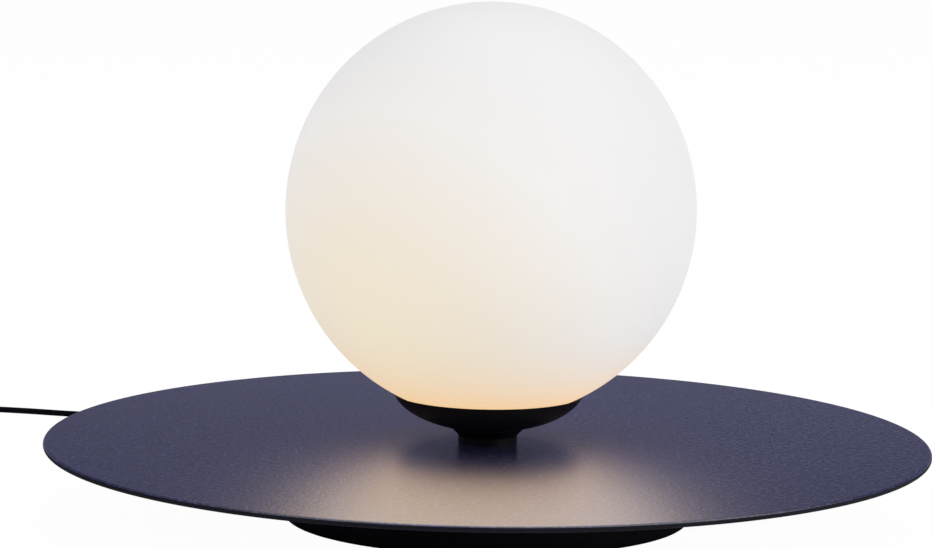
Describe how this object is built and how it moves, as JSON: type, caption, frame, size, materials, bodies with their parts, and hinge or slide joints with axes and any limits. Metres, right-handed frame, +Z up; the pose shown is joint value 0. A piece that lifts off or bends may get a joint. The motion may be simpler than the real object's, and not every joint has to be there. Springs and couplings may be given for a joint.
{
  "type": "table lamp",
  "caption": "Table lamp: an opal glass globe in a small cup on a short neck, over a wide flat disc on a low round base, with a thin corded dimmer and plug-in adapter.",
  "frame": {"origin": "on the table, under the middle of the base: bottom centre of the lamp's box without the cord set", "axes": "+Z up; -Y towards the picture's viewer; +X to the viewer's right; the cord leaves the base along +Y"},
  "size_m": [0.552, 0.5009, 0.254],
  "materials": {
    "opal_glass": "opal white, smooth, lit from inside",
    "frosted_glass": "frosted",
    "silicone": "translucent, satin",
    "black_paint": "matt black",
    "dark_powder_coat": "fine grained dark blue-grey powder coat",
    "galvanised_steel": "galvanised",
    "zinc_plate": "bright zinc plate",
    "spring_steel": "polished strip",
    "cast_iron": "raw casting",
    "black_rubber": "matt",
    "white_ceramic": "steatite ceramic, satin",
    "white_plastic": "satin",
    "black_plastic": "fine matt texture",
    "circuit_board": "green laminate",
    "cord_jacket": "satin black",
    "red_insulation": "satin red",
    "nickel_plate": "bright nickel plate"
  },
  "bodies": {
    "lamp": {"globe_gasket": "silicone", "cup": "black_paint", "neck": "black_paint", "disc": "dark_powder_coat", "base_shell": "black_paint", "base_plate": "galvanised_steel", "ballast_ring": "cast_iron", "foot_ring": "black_rubber", "base_screw_1": "zinc_plate", "base_screw_2": "zinc_plate", "base_screw_3": "zinc_plate", "stem_tube": "zinc_plate", "stem_washer_top": "zinc_plate", "stem_nut_top": "zinc_plate", "stem_washer_bottom": "zinc_plate", "stem_nut_bottom": "zinc_plate", "holder_bracket": "zinc_plate", "globe_spring_1": "spring_steel", "globe_spring_2": "spring_steel", "globe_spring_3": "spring_steel", "spring_rivet_1": "zinc_plate", "spring_rivet_2": "zinc_plate", "spring_rivet_3": "zinc_plate", "lampholder": "white_ceramic", "holder_screw_1": "zinc_plate", "holder_screw_2": "zinc_plate", "terminal_block": "white_plastic", "cord_clamp": "galvanised_steel", "clamp_screw_1": "zinc_plate", "clamp_screw_2": "zinc_plate", "cord_gland": "black_plastic", "cord_inner": "cord_jacket", "lead_positive": "red_insulation", "lead_negative": "cord_jacket", "cord_run": "cord_jacket", "dimmer_base": "black_plastic", "dimmer_cover": "black_plastic", "dimmer_board": "circuit_board", "dimmer_relief_in": "cord_jacket", "dimmer_relief_out": "cord_jacket", "dimmer_screw_1": "zinc_plate", "dimmer_screw_2": "zinc_plate", "cord_link": "cord_jacket", "cord_coil": "cord_jacket", "coil_tie": "black_rubber", "cord_tail": "cord_jacket", "adapter_relief": "cord_jacket", "adapter_shell": "black_plastic", "adapter_cap": "black_plastic", "adapter_pin_1": "nickel_plate", "adapter_pin_2": "nickel_plate"},
    "globe": {"globe": "opal_glass"},
    "bulb": {"bulb_base": "white_ceramic", "bulb_envelope": "frosted_glass"},
    "slider": {"dimmer_slider": "black_plastic"}
  },
  "joints": [
    {"name": "globe_lift", "type": "slide", "parent": "lamp", "child": "globe", "axis": [0, 0, 1], "range_m": [0, 0.065]},
    {"name": "bulb_pull", "type": "slide", "parent": "lamp", "child": "bulb", "axis": [0, 0, 1], "range_m": [0, 0.01]},
    {"name": "dimmer_slide", "type": "slide", "parent": "lamp", "child": "slider", "axis": [0, -1, 0], "range_m": [0, 0.018]}
  ]
}
